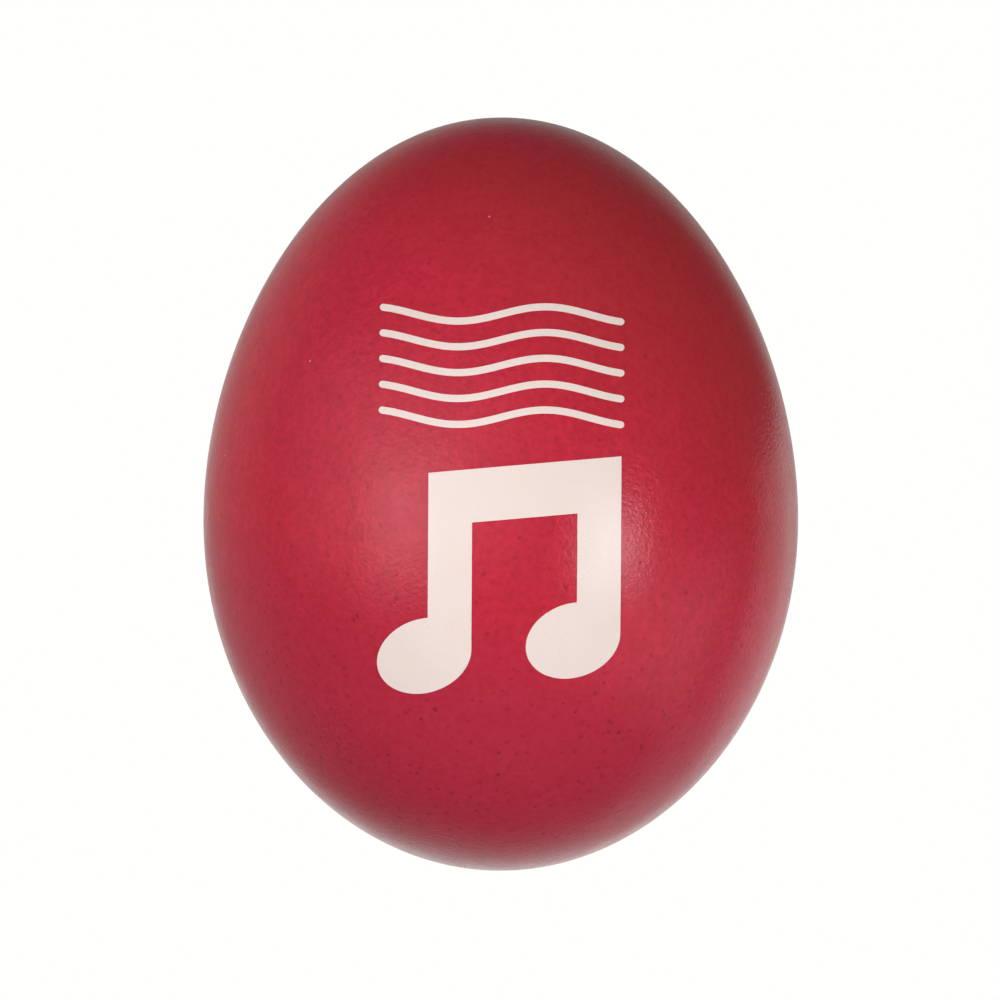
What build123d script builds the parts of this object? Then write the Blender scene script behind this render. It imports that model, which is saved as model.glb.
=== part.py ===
from build123d import *
import math
import os

# Egg shaker: a hollow plastic egg in two halves, cemented together lengthwise, with loose steel
# shot sealed inside. Millimetres. +Z runs up the long axis to the pointed end, the front faces -Y,
# and the origin is the centre of the girth, the widest circle, where the hand holds the egg.

# Outline: one cubic Bezier curve from the girth to each pole, with the same curvature at the girth.
girth_diameter = 45.0
blunt_height = 26.6  # girth to blunt pole
pointed_height = 30.4  # girth to pointed pole
blunt_fullness = 0.528  # broadness of the blunt end, as a share of the radius
pointed_fullness = 0.595  # broadness of the pointed end, as a share of the radius
pointed_side = 0.467  # straightness of the side above the girth, as a share of pointed_height

# Shell wall, and the lap joint on the lengthwise parting plane y = 0.
wall = 2.0
lip_thickness = 0.9
lip_height = 1.6
lip_clearance = 0.06  # between the lip and the rebate that takes it
cement_gap = 0.3  # between the end of the lip and the end of the rebate
seam_width = 0.14  # fine groove where the halves meet on the outside
seam_depth = 0.12

# Shot: balls in upright stacks on a hexagonal grid. Each stack has room to fly to the roof.
shot_diameter = 3.5
shot_side_gap = 0.3  # between neighbouring stacks
shot_stack_gap = 0.05  # between the balls of one stack
shot_wall_gap = 0.15  # between a ball and the shell at either end of its flight
balls_in_ring = (2, 2, 2, 1)  # balls in each stack, from the stack on the axis outwards

tool_reach = 1.0  # how far a cutting tool runs past what it cuts
height_tolerance = 1e-4  # how closely a ball's height is found


def outline(inset):
    """The two edges of the egg's outline, that far inside the outer surface, on the XZ plane."""
    radius = girth_diameter / 2 - inset
    top = pointed_height - inset
    bottom = blunt_height - inset
    up = pointed_side * top
    # equal curvature at the girth sets how straight the side is below it
    down = up * math.sqrt((1 - blunt_fullness) / (1 - pointed_fullness))
    pointed = Bezier((radius, 0, 0), (radius, 0, up), (pointed_fullness * radius, 0, top), (0, 0, top))
    blunt = Bezier((0, 0, -bottom), (blunt_fullness * radius, 0, -bottom), (radius, 0, -down), (radius, 0, 0))
    return blunt, pointed


def half_layer(outer_inset, inner_inset, rear):
    """Half of the egg-shaped layer between two insets, on the rear or the front of y = 0."""
    outer = outline(outer_inset)
    inner = outline(inner_inset)
    low_end = Line(inner[0] @ 0, outer[0] @ 0)
    high_end = Line(outer[1] @ 1, inner[1] @ 1)
    section = make_face([low_end, *outer, high_end, *inner])
    return revolve(section, Axis.Z, 180 if rear else -180)


def slab(low, high):
    """A block wider and taller than the egg between two planes of constant y."""
    size = 2 * (girth_diameter + blunt_height + pointed_height)
    return Pos(0, (low + high) / 2, 0) * Box(size, high - low, size)


def seam_groove(rear):
    """What the groove on the outside takes from one half."""
    layer = half_layer(-tool_reach, seam_depth, rear)
    half_width = seam_width / 2
    return layer & slab(-half_width, half_width)


rebate_inset = wall - lip_thickness - lip_clearance
rebate_depth = lip_height + cement_gap


def front_shell():
    """Front half, with a rebate inside its rim."""
    rebate = half_layer(rebate_inset, wall + tool_reach, rear=False) & slab(-rebate_depth, tool_reach)
    return half_layer(0, wall, rear=False) - rebate - seam_groove(rear=False)


def rear_shell():
    """Rear half, with a lip that enters the front half's rebate."""
    lip = half_layer(wall - lip_thickness, wall, rear=False) & slab(-lip_height, tool_reach)
    return half_layer(0, wall, rear=True) - seam_groove(rear=True) + lip


def seam_cement():
    """The bead of cement that fills the end of the rebate all the way round."""
    return half_layer(rebate_inset, wall, rear=False) & slab(-rebate_depth, -lip_height)


def ball_height(distance, end):
    """Height of a ball's centre against the cavity's floor (end 0) or roof (end 1), that far from the axis."""
    curve = outline(wall)[end]
    clear = shot_diameter / 2 + shot_wall_gap
    inside = 0.0
    outside = (curve @ end).Z
    while abs(outside - inside) > height_tolerance:
        middle = (inside + outside) / 2
        if curve.distance_to(Vertex(distance, 0, middle)) < clear:
            outside = middle
        else:
            inside = middle
    return inside


def shot_stacks():
    """One (x, y, lowest ball's height, number of balls, travel) for each stack, from the axis outwards."""
    pitch = shot_diameter + shot_side_gap
    layer = shot_diameter + shot_stack_gap
    last = len(balls_in_ring) - 1
    stacks = []
    for row in range(-last, last + 1):
        for column in range(-last, last + 1):
            ring = max(abs(row), abs(column), abs(row + column))
            if ring > last:
                continue
            x = pitch * (column + row / 2)
            y = pitch * row * math.sqrt(3) / 2
            distance = math.hypot(x, y)
            floor = ball_height(distance, 0)
            balls = balls_in_ring[ring]
            travel = ball_height(distance, 1) - floor - layer * (balls - 1)
            stacks.append((ring, math.atan2(y, x), (x, y, floor, balls, travel)))
    return [stack for _, _, stack in sorted(stacks)]


def shot():
    """{name: ball} for every ball, and {stack: its balls' names} for the stacks that they fly in."""
    balls = {}
    groups = {}
    for number, (x, y, floor, count, _) in enumerate(shot_stacks(), start=1):
        group = groups.setdefault(f"shot_stack_{number:02d}", [])
        for level in range(count):
            name = f"shot_{len(balls) + 1:02d}"
            height = floor + level * (shot_diameter + shot_stack_gap)
            balls[name] = Pos(x, y, height) * Sphere(shot_diameter / 2)
            group.append(name)
    return balls, groups


parts = {"front_shell": front_shell(), "rear_shell": rear_shell(), "seam_cement": seam_cement(), **shot()[0]}

os.makedirs("parts", exist_ok=True)
for name, part in parts.items():
    export_step(part, f"parts/{name}.step")
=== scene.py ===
import math

import bmesh
import bpy
import numpy as np
from mathutils import Euler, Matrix, Vector, geometry, noise


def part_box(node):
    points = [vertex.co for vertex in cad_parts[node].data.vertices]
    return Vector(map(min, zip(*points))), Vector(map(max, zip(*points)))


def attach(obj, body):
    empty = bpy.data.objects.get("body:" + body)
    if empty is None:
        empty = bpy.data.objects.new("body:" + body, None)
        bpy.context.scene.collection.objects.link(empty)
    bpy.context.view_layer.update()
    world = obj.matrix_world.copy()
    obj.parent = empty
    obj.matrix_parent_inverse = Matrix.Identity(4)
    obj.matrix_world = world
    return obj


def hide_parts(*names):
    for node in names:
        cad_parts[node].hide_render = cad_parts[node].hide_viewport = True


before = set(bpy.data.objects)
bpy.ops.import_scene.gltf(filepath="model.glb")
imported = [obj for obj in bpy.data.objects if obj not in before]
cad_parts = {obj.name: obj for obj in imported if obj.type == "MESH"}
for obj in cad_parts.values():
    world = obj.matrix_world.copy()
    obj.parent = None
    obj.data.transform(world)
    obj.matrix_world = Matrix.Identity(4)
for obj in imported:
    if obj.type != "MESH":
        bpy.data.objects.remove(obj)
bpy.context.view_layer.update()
mm = 0.001


# the egg's outline, the same two Bezier curves as the solid's
eggShape = {
    "bluntFullness": 0.528,
    "pointedFullness": 0.595,
    "pointedSide": 0.467,
    "outlineSteps": 1500,
    "rayHalvings": 40,  # how often a ray's length is halved to find the skin
}
shellLow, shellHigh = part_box("front_shell")
girthRadius = (shellHigh.x - shellLow.x) / 2
bluntHeight = -shellLow.z
pointedHeight = shellHigh.z


def bezierPoints(ends, steps):
    # points along one cubic curve, given its four (radius, height) control points
    t = np.linspace(0, 1, steps)[:, None]
    a, b, c, d = (np.array(end) for end in ends)
    return (1 - t) ** 3 * a + 3 * t * (1 - t) ** 2 * b + 3 * t ** 2 * (1 - t) * c + t ** 3 * d


def eggOutline(inset):
    # (radius, height) from the blunt pole to the pointed pole, that far inside the surface
    radius = girthRadius - inset
    top = pointedHeight - inset
    bottom = bluntHeight - inset
    fullness = eggShape["bluntFullness"], eggShape["pointedFullness"]
    up = eggShape["pointedSide"] * top
    down = up * math.sqrt((1 - fullness[0]) / (1 - fullness[1]))  # same bend each side of the girth
    blunt = [(0, -bottom), (fullness[0] * radius, -bottom), (radius, -down), (radius, 0)]
    pointed = [(radius, 0), (radius, up), (fullness[1] * radius, top), (0, top)]
    steps = eggShape["outlineSteps"]
    return np.vstack([bezierPoints(blunt, steps), bezierPoints(pointed, steps)[1:]])


def skinPoints(start, aim, inset=0.0):
    # where the rays from start along aim meet the skin at that inset
    outline = eggOutline(inset)
    near = np.zeros(len(aim))
    far = np.full(len(aim), 2 * pointedHeight)
    for _ in range(eggShape["rayHalvings"]):
        middle = (near + far) / 2
        spot = start + aim * middle[:, None]
        room = np.interp(spot[:, 2], outline[:, 1], outline[:, 0], left=-1, right=-1)
        inside = np.hypot(spot[:, 0], spot[:, 1]) < room
        near = np.where(inside, middle, near)
        far = np.where(inside, far, middle)
    return start + aim * near[:, None]


# shell halves: fine skins inside and out, with the lap joint's steps and the seam groove between them
shellHalf = {
    "cutsPerFace": 96,  # even grid over the half, about 0.4 mm a step
    "wall": 2.0 * mm,
    "lip": 0.9 * mm,
    "lipHeight": 1.6 * mm,
    "lipClearance": 0.06 * mm,
    "cementGap": 0.3 * mm,
    "seamHalfWidth": 0.07 * mm,
    "seamDepth": 0.12 * mm,
    "seamRound": 0.04 * mm,  # moulded edge either side of the groove
    "broadDent": (0.03 * mm, 7 * mm),  # depth and width of the moulding's slow unevenness
    "smallDent": (0.005 * mm, 1.9 * mm),
    "dentFade": 1.5 * mm,  # the dents die out towards the seam, so the halves meet flush
    "roundTurns": (30, 60, 90),  # where the moulded edge bends, in degrees
    "rimTolerance": 1e-6,  # how near the cut plane counts as on it
    "sharpAngle": 35,
}


def halfBall(cuts):
    # directions and quads over the front half of a ball, with no pole, and its rim in order
    bm = bmesh.new()
    bmesh.ops.create_cube(bm, size=2)
    bmesh.ops.subdivide_edges(bm, edges=bm.edges[:], cuts=cuts - 1, use_grid_fill=True)
    spare = [v for v in bm.verts if v.co.y > 1 / (2 * cuts)]
    bmesh.ops.delete(bm, geom=spare, context="VERTS")
    bmesh.ops.recalc_face_normals(bm, faces=bm.faces[:])
    bm.verts.index_update()
    aim = np.array([v.co for v in bm.verts])
    quads = [[v.index for v in f.verts] for f in bm.faces]
    rim = [v.index for v in bm.verts if v.is_boundary]
    first = bm.faces[0]
    flip = first.normal.dot(first.calc_center_median()) < 0
    bm.free()
    aim = np.tan(aim * math.pi / 4)
    aim[:, 1] = np.where(np.abs(aim[:, 1]) < shellHalf["rimTolerance"], 0, aim[:, 1])
    aim /= np.linalg.norm(aim, axis=1)[:, None]
    rim.sort(key=lambda i: math.atan2(aim[i, 2], aim[i, 0]))
    if flip:
        quads = [q[::-1] for q in quads]
    return aim, quads, rim


def dentSkin(points, seamY):
    # pushes a skin in a little, unevenly, and less towards the seam
    away = np.clip((np.abs(points[:, 1]) - abs(seamY)) / shellHalf["dentFade"], 0, 1)
    fade = away * away * (3 - 2 * away)
    normal = points / np.array([girthRadius, girthRadius, pointedHeight]) ** 2
    normal /= np.linalg.norm(normal, axis=1)[:, None]
    depth = np.zeros(len(points))
    for amount, width in (shellHalf["broadDent"], shellHalf["smallDent"]):
        wave = np.array([noise.noise(Vector(p) / width) for p in points])
        depth += amount * (0.5 + 0.5 * wave)
    return points - normal * (depth * fade)[:, None]


def makeShell(name, side, steps, innerY):
    # side is -1 for the front half and 1 for the rear; steps are (inset, y) from the groove to the inside
    aim, quads, rim = halfBall(shellHalf["cutsPerFace"])
    aim = aim * np.array([1, -side, 1])
    outerY = side * (shellHalf["seamHalfWidth"] + shellHalf["seamRound"])
    skins = [dentSkin(skinPoints(np.array([0, outerY, 0]), aim), outerY)]
    level = aim[rim] * np.array([1, 0, 1])
    for inset, y in steps:
        skins.append(skinPoints(np.array([0, y, 0]), level, inset))
    skins.append(skinPoints(np.array([0, innerY, 0]), aim, shellHalf["wall"]))
    outerCount = len(aim)
    innerFirst = outerCount + len(steps) * len(rim)
    faces = [q if side < 0 else q[::-1] for q in quads]
    faces += [[innerFirst + i for i in reversed(q)] for q in faces]
    loops = [rim]
    loops += [[outerCount + s * len(rim) + k for k in range(len(rim))] for s in range(len(steps))]
    loops.append([innerFirst + i for i in rim])
    for upper, lower in zip(loops, loops[1:]):
        for k in range(len(rim)):
            j = (k + 1) % len(rim)
            faces.append([upper[k], upper[j], lower[j], lower[k]][::side])
    mesh = bpy.data.meshes.new(name)
    mesh.from_pydata(np.vstack(skins).tolist(), [], faces)
    mesh.update()
    mesh.shade_smooth()
    mesh.set_sharp_from_angle(angle=math.radians(shellHalf["sharpAngle"]))
    piece = bpy.data.objects.new(name, mesh)
    bpy.context.scene.collection.objects.link(piece)
    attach(piece, "shell")
    return piece


def seamSteps(side):
    # from the outer skin, over the rounded edge, to the bottom of the groove
    half = shellHalf["seamHalfWidth"]
    radius = shellHalf["seamRound"]
    steps = []
    for turn in shellHalf["roundTurns"]:
        lean = math.radians(turn)
        steps.append((radius * (1 - math.cos(lean)), side * (half + radius * (1 - math.sin(lean)))))
    return steps + [(shellHalf["seamDepth"], side * half), (shellHalf["seamDepth"], 0)]


lipInset = shellHalf["wall"] - shellHalf["lip"]
rebateInset = lipInset - shellHalf["lipClearance"]
rebateY = -(shellHalf["lipHeight"] + shellHalf["cementGap"])
lipY = -shellHalf["lipHeight"]
frontShell = makeShell(
    "shell_front", -1,
    seamSteps(-1) + [(rebateInset, 0), (rebateInset, rebateY)],
    rebateY,
)
rearShell = makeShell(
    "shell_rear", 1,
    seamSteps(1) + [(lipInset, 0), (lipInset, lipY), (shellHalf["wall"], lipY)],
    0,
)
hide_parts("front_shell")
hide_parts("rear_shell")
print("shell halves made:", len(frontShell.data.polygons), "and", len(rearShell.data.polygons), "faces")


# printed motif: a wavy staff above a pair of joined notes, in flat (x, z) millimetres on the front
motif = {
    "proud": 0.02 * mm,
    "sunk": 0.06 * mm,
    "grid": 0.5,
    "weld": 1e-4,
    "sharpAngle": 40,
    "staff": {"left": -9.0, "right": 9.0, "top": 15.1, "gap": 1.9, "lines": 5, "stroke": 0.52,
              "wave": 0.55, "waveLength": 13.0, "points": 60, "capStep": 22},
    "notes": {"headWide": 3.55, "headHigh": 2.7, "headLean": 20, "headSteps": 72, "stem": 3.2,
              "stemRights": (-2.1, 8.8), "headHeights": (-10.0, -8.8),
              "beamTops": (3.4, 4.7), "beamThick": 3.9, "stemTuck": 0.5},
}


def staffLine(number):
    # one closed outline of a wavy line with round ends
    s = motif["staff"]
    height = s["top"] - number * s["gap"]
    xs = np.linspace(s["left"] + s["stroke"] / 2, s["right"] - s["stroke"] / 2, s["points"])
    turn = 2 * math.pi / s["waveLength"]
    zs = height + s["wave"] * np.sin(turn * xs)
    slope = s["wave"] * turn * np.cos(turn * xs)
    along = np.stack([np.ones_like(slope), slope], 1) / np.hypot(1, slope)[:, None]
    across = np.stack([-along[:, 1], along[:, 0]], 1) * s["stroke"] / 2
    middle = np.stack([xs, zs], 1)
    outline = list(middle + across)
    for end, first in ((-1, 90), (0, 270)):
        if end == 0:
            outline += list((middle - across)[::-1])
        base = math.atan2(along[end, 1], along[end, 0])
        for turned in range(first - s["capStep"], first - 180, -s["capStep"]):
            angle = base + math.radians(turned)
            outline.append(middle[end] + s["stroke"] / 2 * np.array([math.cos(angle), math.sin(angle)]))
    return outline


def headReach():
    # how far right of the head's middle its oval ends, and how much higher that point is
    n = motif["notes"]
    lean = math.radians(n["headLean"])
    reach = math.hypot(n["headWide"] * math.cos(lean), n["headHigh"] * math.sin(lean))
    return reach, (n["headWide"] ** 2 - n["headHigh"] ** 2) * math.sin(lean) * math.cos(lean) / reach


def noteHead(right, height):
    # an oval that leans up to the right and touches the stem's right side
    n = motif["notes"]
    lean = math.radians(n["headLean"])
    reach = headReach()[0]
    outline = []
    for step in range(n["headSteps"]):
        angle = math.radians(step * 360 / n["headSteps"])
        x = n["headWide"] * math.cos(angle)
        z = n["headHigh"] * math.sin(angle)
        outline.append((right - reach + x * math.cos(lean) - z * math.sin(lean),
                        height + x * math.sin(lean) + z * math.cos(lean)))
    return outline


def noteStem(right, height, top):
    left = right - motif["notes"]["stem"]
    low = height + headReach()[1]
    return [(left, low), (right, low), (right, top), (left, top)]


def noteBeam():
    n = motif["notes"]
    left = n["stemRights"][0] - n["stem"]
    right = n["stemRights"][1]
    low, high = n["beamTops"]
    return [(left, low - n["beamThick"]), (right, high - n["beamThick"]), (right, high), (left, low)]


def finerEdge(outline, step):
    # the same outline with points no further apart than step
    points = []
    for a, b in zip(outline, list(outline[1:]) + [outline[0]]):
        a, b = np.array(a, float), np.array(b, float)
        count = max(1, math.ceil(np.linalg.norm(b - a) / step))
        points += [a + (b - a) * k / count for k in range(count)]
    return points


def makePrint(name, outlines):
    # fills the outlines as one sheet, lays it on the egg's front and gives it the ink's thickness
    points, faces = [], []
    for outline in outlines:
        edge = finerEdge(outline, motif["grid"])
        faces.append(list(range(len(points), len(points) + len(edge))))
        points += edge
    low, high = np.min(points, axis=0), np.max(points, axis=0)
    for x in np.arange(low[0], high[0], motif["grid"]):
        for z in np.arange(low[1], high[1], motif["grid"]):
            points.append((x, z))
    corners = [Vector(p) for p in points]
    insideOnly = 1
    flat, _, cells, _, _, _ = geometry.delaunay_2d_cdt(corners, [], faces, insideOnly, motif["weld"])
    place = np.array([(p[0], 0, p[1]) for p in flat]) * mm
    outline = eggOutline(0)
    radius = np.interp(place[:, 2], outline[:, 1], outline[:, 0])
    depth = np.sqrt(radius ** 2 - place[:, 0] ** 2)
    slope = np.gradient(outline[:, 0], outline[:, 1])
    lean = np.interp(place[:, 2], outline[:, 1], slope)
    normal = np.stack([place[:, 0] / radius, -depth / radius, -lean], 1)
    normal /= np.linalg.norm(normal, axis=1)[:, None]
    place[:, 1] = -depth
    bm = bmesh.new()
    upper = [bm.verts.new(p) for p in place + normal * motif["proud"]]
    lower = [bm.verts.new(p) for p in place - normal * motif["sunk"]]
    edges = {}
    for cell in cells:
        for a, b in zip(cell, cell[1:] + cell[:1]):
            edges[a, b] = True
        bm.faces.new([upper[i] for i in cell])
        bm.faces.new([lower[i] for i in reversed(cell)])
    for a, b in edges:
        if (b, a) not in edges:
            bm.faces.new([upper[b], upper[a], lower[a], lower[b]])
    loose = [v for v in bm.verts if not v.link_faces]
    bmesh.ops.delete(bm, geom=loose, context="VERTS")
    bmesh.ops.recalc_face_normals(bm, faces=bm.faces[:])
    mesh = bpy.data.meshes.new(name)
    bm.to_mesh(mesh)
    bm.free()
    mesh.shade_smooth()
    mesh.set_sharp_from_angle(angle=math.radians(motif["sharpAngle"]))
    piece = bpy.data.objects.new(name, mesh)
    bpy.context.scene.collection.objects.link(piece)
    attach(piece, "shell")
    return piece


notes = motif["notes"]
noteParts = [noteBeam()]
for right, low, top in zip(notes["stemRights"], notes["headHeights"], notes["beamTops"]):
    noteParts += [noteHead(right, low), noteStem(right, low, top - notes["stemTuck"])]
printedStaff = makePrint("printed_staff", [staffLine(k) for k in range(motif["staff"]["lines"])])
printedNotes = makePrint("printed_notes", noteParts)
print("motif printed:", len(printedStaff.data.polygons) + len(printedNotes.data.polygons), "faces")


# shader node helpers
def newNode(tree, kind, **inputs):
    # a node with its settings and its inputs set by name; a socket given as an input is linked
    node = tree.nodes.new(kind)
    for key, value in inputs.items():
        if key.startswith("set_"):
            setattr(node, key[4:], value)
    for key, value in inputs.items():
        if key.startswith("set_"):
            continue
        socket = node.inputs[int(key[1:])] if key[0] == "i" and key[1:].isdigit() else node.inputs[key]
        if isinstance(value, bpy.types.NodeSocket):
            tree.links.new(value, socket)
        else:
            socket.default_value = value
    return node


def maths(tree, operation, a, b):
    return newNode(tree, "ShaderNodeMath", set_operation=operation, i0=a, i1=b).outputs[0]


def mixColour(tree, share, a, b):
    node = newNode(tree, "ShaderNodeMix", set_data_type="RGBA")
    for place, value in ((0, share), (6, a), (7, b)):
        if isinstance(value, bpy.types.NodeSocket):
            tree.links.new(value, node.inputs[place])
        else:
            node.inputs[place].default_value = value
    return node.outputs[2]


def ramp(tree, value, low, high, outLow=0.0, outHigh=1.0, smooth=True):
    node = newNode(tree, "ShaderNodeMapRange", Value=value)
    node.interpolation_type = "SMOOTHSTEP" if smooth else "LINEAR"
    for key, number in (("From Min", low), ("From Max", high), ("To Min", outLow), ("To Max", outHigh)):
        if isinstance(number, bpy.types.NodeSocket):
            tree.links.new(number, node.inputs[key])
        else:
            node.inputs[key].default_value = number
    return node.outputs["Result"]


def newGroup(name, inputs, outputs):
    # a shader node group; inputs are (name, kind, default) and outputs are (name, kind)
    tree = bpy.data.node_groups.new(name, "ShaderNodeTree")
    for label, kind, default in inputs:
        socket = tree.interface.new_socket(label, in_out="INPUT", socket_type=kind)
        socket.default_value = default
    for label, kind in outputs:
        tree.interface.new_socket(label, in_out="OUTPUT", socket_type=kind)
    return tree, tree.nodes.new("NodeGroupInput").outputs, tree.nodes.new("NodeGroupOutput").inputs


def placeGroup(tree, group, **values):
    node = tree.nodes.new("ShaderNodeGroup")
    node.node_tree = group
    for label, value in values.items():
        socket = node.inputs[label.replace("_", " ")]
        if isinstance(value, bpy.types.NodeSocket):
            tree.links.new(value, socket)
        else:
            socket.default_value = value
    return node.outputs


def sized(tree, widthMm, shift):
    # object coordinates counted in steps of that width, shifted so that no two patterns line up
    place = tree.nodes.new("ShaderNodeTexCoord").outputs["Object"]
    step = maths(tree, "DIVIDE", 1000.0, widthMm)
    scaled = newNode(tree, "ShaderNodeVectorMath", set_operation="SCALE", i0=place)
    tree.links.new(step, scaled.inputs["Scale"])
    moved = newNode(tree, "ShaderNodeVectorMath", set_operation="ADD", i0=scaled.outputs[0], i1=shift)
    return moved.outputs[0]


def mottleGroup():
    # slow change from one colour to another, with soft patches
    tree, given, out = newGroup(
        "mottle",
        [("Colour A", "NodeSocketColor", (1, 1, 1, 1)), ("Colour B", "NodeSocketColor", (0, 0, 0, 1)),
         ("Width mm", "NodeSocketFloat", 5.0), ("Softness", "NodeSocketFloat", 0.3),
         ("Lean", "NodeSocketFloat", 0.0)],
        [("Colour", "NodeSocketColor"), ("Mask", "NodeSocketFloat")],
    )
    cloud = newNode(tree, "ShaderNodeTexNoise", Vector=sized(tree, given["Width mm"], (3.1, 7.7, 1.9)),
                    Scale=1.0, Detail=3.0, Roughness=0.5).outputs[0]
    low = maths(tree, "SUBTRACT", 0.5, given["Softness"])
    high = maths(tree, "ADD", 0.5, given["Softness"])
    mask = ramp(tree, maths(tree, "ADD", cloud, given["Lean"]), low, high)
    tree.links.new(mixColour(tree, mask, given["Colour A"], given["Colour B"]), out["Colour"])
    tree.links.new(mask, out["Mask"])
    return tree


def poreGroup():
    # pinpoints scattered one to a cell, some cells left empty
    tree, given, out = newGroup(
        "pinpoints",
        [("Spacing mm", "NodeSocketFloat", 1.0), ("Radius", "NodeSocketFloat", 0.1),
         ("Share", "NodeSocketFloat", 0.5), ("Soft", "NodeSocketFloat", 0.5)],
        [("Mask", "NodeSocketFloat")],
    )
    cells = newNode(tree, "ShaderNodeTexVoronoi", Vector=sized(tree, given["Spacing mm"], (5.3, 0.4, 8.8)),
                    Scale=1.0)
    dice = newNode(tree, "ShaderNodeSeparateColor", Color=cells.outputs["Color"]).outputs
    size = maths(tree, "MULTIPLY", given["Radius"], ramp(tree, dice[1], 0, 1, 0.55, 1.0, smooth=False))
    inner = maths(tree, "MULTIPLY", size, maths(tree, "SUBTRACT", 1.0, given["Soft"]))
    spot = ramp(tree, cells.outputs["Distance"], inner, size, 1.0, 0.0)
    chosen = maths(tree, "LESS_THAN", dice[0], given["Share"])
    tree.links.new(maths(tree, "MULTIPLY", spot, chosen), out["Mask"])
    return tree


def grainGroup():
    # fine pebbling with small pits in it, as a height from 0 to 1
    tree, given, out = newGroup(
        "pebble grain",
        [("Width mm", "NodeSocketFloat", 0.4), ("Pits", "NodeSocketFloat", 0.5)],
        [("Height", "NodeSocketFloat")],
    )
    fine = newNode(tree, "ShaderNodeTexNoise", Vector=sized(tree, given["Width mm"], (2.0, 4.0, 6.0)),
                   Scale=1.0, Detail=2.0, Roughness=0.55).outputs[0]
    wide = maths(tree, "MULTIPLY", given["Width mm"], 2.5)
    cells = newNode(tree, "ShaderNodeTexVoronoi", Vector=sized(tree, wide, (9.0, 1.0, 5.0)), Scale=1.0)
    pit = ramp(tree, cells.outputs["Distance"], 0.05, 0.3)
    lowered = maths(tree, "MULTIPLY", maths(tree, "SUBTRACT", pit, 1.0), given["Pits"])
    tree.links.new(maths(tree, "ADD", fine, lowered), out["Height"])
    return tree


mottle = mottleGroup()
pinpoints = poreGroup()
pebbleGrain = grainGroup()


def newMaterial(name):
    material = bpy.data.materials.new(name)
    material.use_nodes = True
    tree = material.node_tree
    return material, tree, tree.nodes["Principled BSDF"]


def height(tree, axis):
    # how far along one axis a point lies, in millimetres
    place = tree.nodes.new("ShaderNodeTexCoord").outputs["Object"]
    split = newNode(tree, "ShaderNodeSeparateXYZ", Vector=place)
    return maths(tree, "MULTIPLY", split.outputs[axis], 1000.0)


def slanted(tree, slant):
    # height in millimetres, raised towards the right by that slant
    return maths(tree, "ADD", height(tree, "Z"), maths(tree, "MULTIPLY", height(tree, "X"), slant))


paint = {
    "crimson": (0.61, 0.029, 0.066, 1),
    "magenta": (0.56, 0.027, 0.060, 1),
    "orangeRed": (0.595, 0.030, 0.052, 1),
    "footShade": (0.472, 0.028, 0.060, 1),  # painted shade: the tone darkens towards the blunt end
    "brown": (0.455, 0.033, 0.037, 1),  # brown, then plum, towards the pointed one; the brown is partly the shell's own tone, partly painted shade on the upper right
    "plum": (0.58, 0.027, 0.068, 1),
    "sideways": (-22, 18),  # magenta on the left, crimson on the right
    "redPatches": {"Width_mm": 12.0, "Softness": 0.2},
    "magentaPatches": {"Width_mm": 4.5, "Softness": 0.25, "Lean": -0.05},
    "footShadeStarts": (-4.0, -15.0),
    "footShadeSlant": 0.35,
    "brownAndShadeStarts": (9.0, 28.0),
    "plumStarts": (26.0, 29.5),
    "slant": 0.95,  # the brown and its painted shade reach lower on the right
    "wander": 5.0,  # and its edge wanders by this much
    "wanderPatches": {"Width_mm": 9.0, "Softness": 0.5},
    "deep": (0.40, 0.019, 0.036, 1),
    "pore": (0.17, 0.010, 0.018, 1),
    "speck": (0.62, 0.22, 0.24, 1),
    "clouds": {"Width_mm": 2.0, "Softness": 0.3},
    "cloudStrength": 0.34,
    "flecks": {"Width_mm": 0.5, "Softness": 0.24},
    "fleckStrength": 0.6,
    "boldPores": {"Spacing_mm": 1.5, "Radius": 0.2, "Share": 0.5, "Soft": 0.9},
    "boldStrength": 0.6,
    "faintPores": {"Spacing_mm": 0.75, "Radius": 0.42, "Share": 0.7, "Soft": 0.9},
    "faintStrength": 0.36,
    "poreHeights": (8, -18),  # pores grow stronger between these heights
    "poreShares": (0.6, 1.25),
    "specks": {"Spacing_mm": 3.3, "Radius": 0.035, "Share": 0.3, "Soft": 0.4},
    "grain": {"Width_mm": 0.3, "Pits": 0.25},
    "roughness": (0.18, 0.25),
    "specular": 0.17,
    "grainDepth": 0.029 * mm,
    "poreDepth": 0.012 * mm,
}


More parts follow.
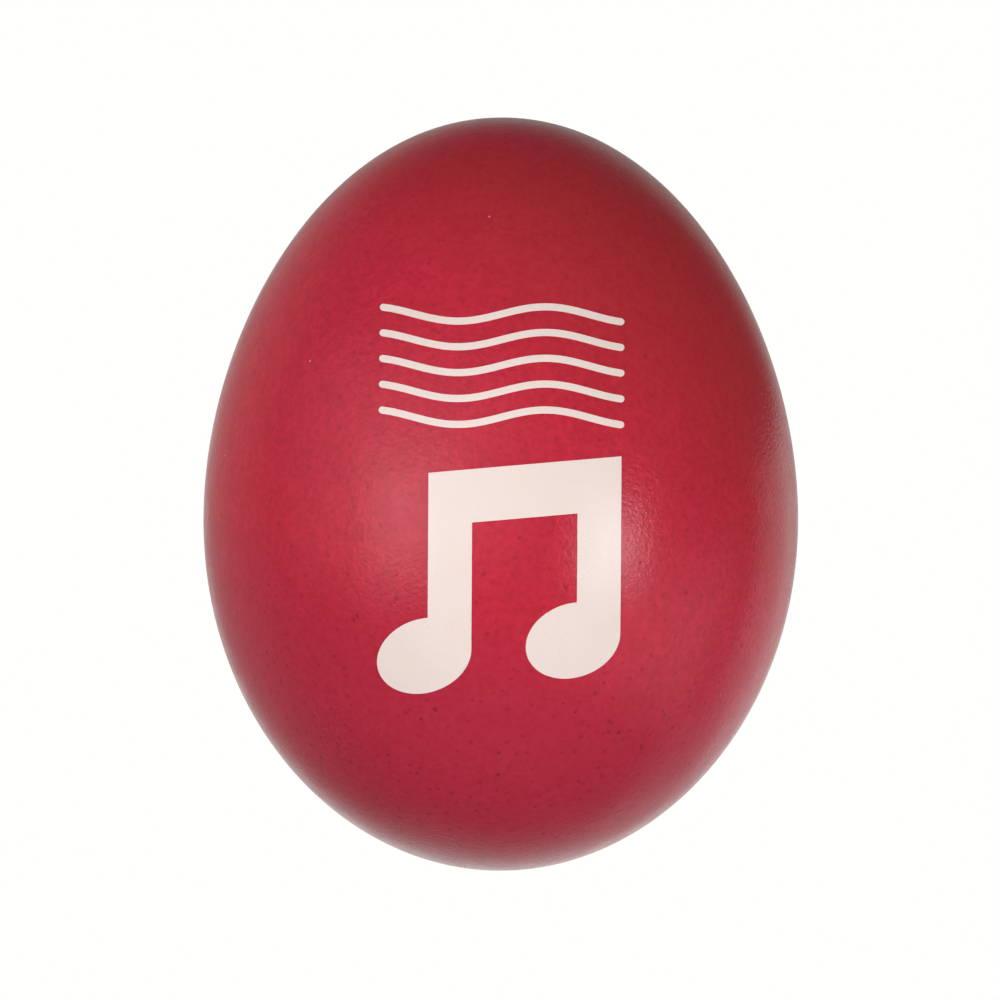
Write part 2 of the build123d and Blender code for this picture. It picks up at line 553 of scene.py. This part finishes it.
def shellPaint():
    material, tree, shader = newMaterial("crimson satin paint")
    # broad hue drift and patches, painted shade towards the blunt end and the upper right, then clouds and
    # flecks
    sideways = ramp(tree, height(tree, "X"), *paint["sideways"])
    tone = mixColour(tree, sideways, paint["magenta"], paint["crimson"])
    broad = placeGroup(tree, mottle, Colour_A=tone, Colour_B=paint["orangeRed"], **paint["redPatches"])
    small = placeGroup(tree, mottle, Colour_A=broad["Colour"], Colour_B=paint["magenta"],
                       **paint["magentaPatches"])
    tone = small["Colour"]
    # painted shade: darker towards the blunt end, reaching higher on the left
    footShade = slanted(tree, paint["footShadeSlant"])
    tone = mixColour(tree, ramp(tree, footShade, *paint["footShadeStarts"]), tone, paint["footShade"])
    # partly the shell's brownish tone, partly painted shade: brown towards the pointed end, lower on the
    # right, with a wandering edge
    wander = placeGroup(tree, mottle, **paint["wanderPatches"])["Mask"]
    wander = maths(tree, "MULTIPLY", maths(tree, "SUBTRACT", wander, 0.5), paint["wander"])
    crownToneAndShade = maths(tree, "ADD", slanted(tree, paint["slant"]), wander)
    tone = mixColour(tree, ramp(tree, crownToneAndShade, *paint["brownAndShadeStarts"]), tone, paint["brown"])
    tone = mixColour(tree, ramp(tree, height(tree, "Z"), *paint["plumStarts"]), tone, paint["plum"])
    cloudy = placeGroup(tree, mottle, **paint["clouds"])["Mask"]
    tone = mixColour(tree, maths(tree, "MULTIPLY", cloudy, paint["cloudStrength"]), tone, paint["deep"])
    flecks = placeGroup(tree, mottle, **paint["flecks"])["Mask"]
    tone = mixColour(tree, maths(tree, "MULTIPLY", flecks, paint["fleckStrength"]), tone, paint["deep"])
    # pores, stronger in the lower half
    lower = ramp(tree, height(tree, "Z"), *paint["poreHeights"], *paint["poreShares"])
    bold = placeGroup(tree, pinpoints, **paint["boldPores"])["Mask"]
    bold = maths(tree, "MULTIPLY", bold, paint["boldStrength"])
    faint = placeGroup(tree, pinpoints, **paint["faintPores"])["Mask"]
    faint = maths(tree, "MULTIPLY", faint, paint["faintStrength"])
    pores = maths(tree, "MULTIPLY", maths(tree, "MAXIMUM", bold, faint), lower)
    specks = placeGroup(tree, pinpoints, **paint["specks"])["Mask"]
    colour = mixColour(tree, pores, tone, paint["pore"])
    colour = mixColour(tree, specks, colour, paint["speck"])
    tree.links.new(colour, shader.inputs["Base Color"])
    shader.inputs["Specular IOR Level"].default_value = paint["specular"]
    rough = ramp(tree, cloudy, 0, 1, *paint["roughness"], smooth=False)
    tree.links.new(rough, shader.inputs["Roughness"])
    grain = placeGroup(tree, pebbleGrain, **paint["grain"])["Height"]
    grainBump = newNode(tree, "ShaderNodeBump", Height=grain, Distance=paint["grainDepth"])
    poreBump = newNode(tree, "ShaderNodeBump", set_invert=True, Height=pores, Distance=paint["poreDepth"],
                       Normal=grainBump.outputs[0])
    tree.links.new(poreBump.outputs[0], shader.inputs["Normal"])
    return material


ink = {
    "cream": (0.84, 0.71, 0.665, 1),
    "thin": (0.82, 0.685, 0.63, 1),
    "roughness": (0.27, 0.31),
    "specular": 0.17,
    "patches": {"Width_mm": 3.0, "Softness": 0.4, "Lean": -0.1},
    "grain": {"Width_mm": 0.24, "Pits": 0.2},
    "grainDepth": 0.025 * mm,
}


def printInk():
    material, tree, shader = newMaterial("cream print ink")
    tone = placeGroup(tree, mottle, Colour_A=ink["cream"], Colour_B=ink["thin"], **ink["patches"])
    tree.links.new(tone["Colour"], shader.inputs["Base Color"])
    shader.inputs["Specular IOR Level"].default_value = ink["specular"]
    rough = ramp(tree, tone["Mask"], 0, 1, *ink["roughness"], smooth=False)
    tree.links.new(rough, shader.inputs["Roughness"])
    grain = placeGroup(tree, pebbleGrain, **ink["grain"])["Height"]
    bump = newNode(tree, "ShaderNodeBump", Height=grain, Distance=ink["grainDepth"])
    tree.links.new(bump.outputs[0], shader.inputs["Normal"])
    return material


cementLook = {
    "pale": (0.62, 0.45, 0.26, 1),
    "brown": (0.42, 0.27, 0.13, 1),
    "patches": {"Width_mm": 1.6, "Softness": 0.25},
    "bubbles": {"Spacing_mm": 0.5, "Radius": 0.22, "Share": 0.4, "Soft": 0.5},
    "bubbleDepth": 0.05 * mm,
    "roughness": (0.45, 0.7),
}


def driedCement():
    material, tree, shader = newMaterial("dried cement")
    tone = placeGroup(tree, mottle, Colour_A=cementLook["pale"], Colour_B=cementLook["brown"],
                      **cementLook["patches"])
    bubbles = placeGroup(tree, pinpoints, **cementLook["bubbles"])["Mask"]
    tree.links.new(mixColour(tree, bubbles, tone["Colour"], cementLook["brown"]), shader.inputs["Base Color"])
    tree.links.new(ramp(tree, tone["Mask"], 0, 1, *cementLook["roughness"]), shader.inputs["Roughness"])
    bump = newNode(tree, "ShaderNodeBump", set_invert=True, Height=bubbles, Distance=cementLook["bubbleDepth"])
    tree.links.new(bump.outputs[0], shader.inputs["Normal"])
    return material


steelLook = {
    "bright": (0.56, 0.56, 0.58, 1),
    "dull": (0.36, 0.35, 0.35, 1),
    "patches": {"Width_mm": 1.1, "Softness": 0.2, "Lean": -0.05},
    "dings": {"Spacing_mm": 0.45, "Radius": 0.3, "Share": 0.35, "Soft": 0.8},
    "dingDepth": 0.01 * mm,
    "roughness": (0.2, 0.42),
}


def shotSteel():
    material, tree, shader = newMaterial("rolled steel shot")
    shader.inputs["Metallic"].default_value = 1.0
    tone = placeGroup(tree, mottle, Colour_A=steelLook["bright"], Colour_B=steelLook["dull"],
                      **steelLook["patches"])
    tree.links.new(tone["Colour"], shader.inputs["Base Color"])
    tree.links.new(ramp(tree, tone["Mask"], 0, 1, *steelLook["roughness"]), shader.inputs["Roughness"])
    dings = placeGroup(tree, pinpoints, **steelLook["dings"])["Mask"]
    bump = newNode(tree, "ShaderNodeBump", set_invert=True, Height=dings, Distance=steelLook["dingDepth"])
    tree.links.new(bump.outputs[0], shader.inputs["Normal"])
    return material


def dress(piece, material):
    piece.data.materials.clear()
    piece.data.materials.append(material)


paintMaterial = shellPaint()
for shell in (frontShell, rearShell):
    dress(shell, paintMaterial)
inkMaterial = printInk()
for printed in (printedStaff, printedNotes):
    dress(printed, inkMaterial)
dress(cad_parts["seam_cement"], driedCement())
steelMaterial = shotSteel()
for nodeName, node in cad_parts.items():
    if nodeName.startswith("shot_"):
        dress(node, steelMaterial)
        node.data.shade_smooth()
print("materials on")


# studio: a white sweep behind the egg, a room that is dark in front and pale behind,
# and seven softboxes
studio = {
    "floorRadius": 3.0,
    "floorSides": 96,
    "backdrop": (1.0, 1.0, 0.985, 1),  # floor and backdrop read as one white sweep
    "roomTint": (0.98, 1.0, 0.94, 1),  # the room's walls are a warm white
    "roomBehind": 0.46,
    "roomBehindRight": 0.07,
    "roomFront": 0.0,
    "roomAbove": 0.08,
    "roomBelow": 0.18,
    "fadeRight": (0.32, 0.57),  # where one brightness of the room passes into the next
    "fadeBehind": (-0.3, 0.6),
    "fadeUp": (0.34, 0.9),
    "fadeDown": (-0.28, -0.95),
    "lampDistance": 0.6,
}
softboxes = {
    # turn from the front and rise from level, half angles across and up as seen from the egg,
    # brightness, layers
    "left_box": (-37, 12, 40, 23, 1.42, "soft"),
    "left_core": (-36, -2, 15, 15.5, 3.25, "soft"),
    "right_box": (72, -26, 27, 18, 1.0, "soft"),
    "right_core": (43, -6, 10.5, 8.5, 10.9, "soft"),
    "rim_box": (136, -9, 18, 16.5, 0.62, "even"),
    "low_rim_box": (136, -38, 15, 12, 0.42, "even"),
    "rear_box": (180, -31, 20, 29.5, 0.5, "soft"),
}
boxLayers = {
    # shares of the light, their spread and how near they stand: a soft box has a hotter middle
    "soft": [(0.30, 1.3, 1.0), (0.35, 0.95, 0.97), (0.35, 0.6, 0.94)],
    "even": [(1.0, 1.0, 1.0)],
}


def makeSoftbox(name, turn, rise, across, up, brightness, layers):
    turn, rise = math.radians(turn), math.radians(rise)
    out = Vector((math.sin(turn) * math.cos(rise), -math.cos(turn) * math.cos(rise), math.sin(rise)))
    for share, spread, nearness in boxLayers[layers]:
        distance = studio["lampDistance"] * nearness
        data = bpy.data.lights.new(name, "AREA")
        data.shape = "RECTANGLE"
        data.size = 2 * distance * math.tan(math.radians(across * spread))
        data.size_y = 2 * distance * math.tan(math.radians(up * spread))
        data.energy = 4 * data.size * data.size_y * brightness * share
        lamp = bpy.data.objects.new(name, data)
        lamp.location = out * distance
        lamp.rotation_euler = out.to_track_quat("Z", "Y").to_euler()
        lamp.visible_camera = False
        bpy.context.scene.collection.objects.link(lamp)


for boxName, boxValues in softboxes.items():
    makeSoftbox(boxName, *boxValues)

floorMesh = bpy.data.meshes.new("floor")
bm = bmesh.new()
bmesh.ops.create_circle(bm, cap_ends=True, radius=studio["floorRadius"], segments=studio["floorSides"])
bm.to_mesh(floorMesh)
bm.free()
floor = bpy.data.objects.new("floor", floorMesh)
floor.location.z = shellLow.z
floor.visible_diffuse = False  # only the camera sees the floor, so low light reaches the egg
floor.visible_glossy = False
floor.visible_shadow = False
bpy.context.scene.collection.objects.link(floor)
floorMaterial, _, floorShader = newMaterial("pale floor")
floorShader.inputs["Base Color"].default_value = (0, 0, 0, 1)
floorShader.inputs["Roughness"].default_value = 1.0
floorShader.inputs["Specular IOR Level"].default_value = 0.0
floorShader.inputs["Emission Color"].default_value = studio["backdrop"]
floorShader.inputs["Emission Strength"].default_value = 1.0
floorMesh.materials.append(floorMaterial)

world = bpy.data.worlds.new("studio")
bpy.context.scene.world = world
world.use_nodes = True
sky = world.node_tree
sky.nodes.clear()
direction = newNode(sky, "ShaderNodeSeparateXYZ",
                    Vector=sky.nodes.new("ShaderNodeTexCoord").outputs["Generated"])
behind = ramp(sky, direction.outputs["X"], *studio["fadeRight"], studio["roomBehind"],
              studio["roomBehindRight"])
level = ramp(sky, direction.outputs["Y"], *studio["fadeBehind"], studio["roomFront"], behind)
room = ramp(sky, direction.outputs["Z"], *studio["fadeUp"], level, studio["roomAbove"])
room = ramp(sky, direction.outputs["Z"], *studio["fadeDown"], room, studio["roomBelow"])
cameraRays = sky.nodes.new("ShaderNodeLightPath").outputs["Is Camera Ray"]
strength = newNode(sky, "ShaderNodeMix", set_data_type="FLOAT", i0=cameraRays, i2=room, i3=1.0).outputs[0]
tint = mixColour(sky, cameraRays, studio["roomTint"], studio["backdrop"])
background = newNode(sky, "ShaderNodeBackground", Color=tint, Strength=strength)
surface = newNode(sky, "ShaderNodeOutputWorld")
sky.links.new(background.outputs[0], surface.inputs["Surface"])
bpy.context.scene.view_settings.view_transform = "Standard"
print("studio lit")


# camera: level, on the egg's front, with a long lens
view = {
    "distance": 0.62,
    "widthAtEgg": 75.7 * mm,
    "lookAt": (-0.07 * mm, 1.45 * mm),
    "roll": 0.35,
    "sensor": 36,
    "clipStart": 0.01,
}
cameraData = bpy.data.cameras.new("camera")
cameraData.sensor_width = view["sensor"]
cameraData.lens = view["sensor"] * view["distance"] / view["widthAtEgg"]
cameraData.clip_start = view["clipStart"]
camera = bpy.data.objects.new("camera", cameraData)
camera.location = (view["lookAt"][0], -view["distance"], view["lookAt"][1])
camera.rotation_euler = Euler((math.radians(90), 0, 0))
camera.rotation_euler.rotate_axis("Z", math.radians(view["roll"]))
bpy.context.scene.collection.objects.link(camera)
bpy.context.scene.camera = camera
print("camera set")
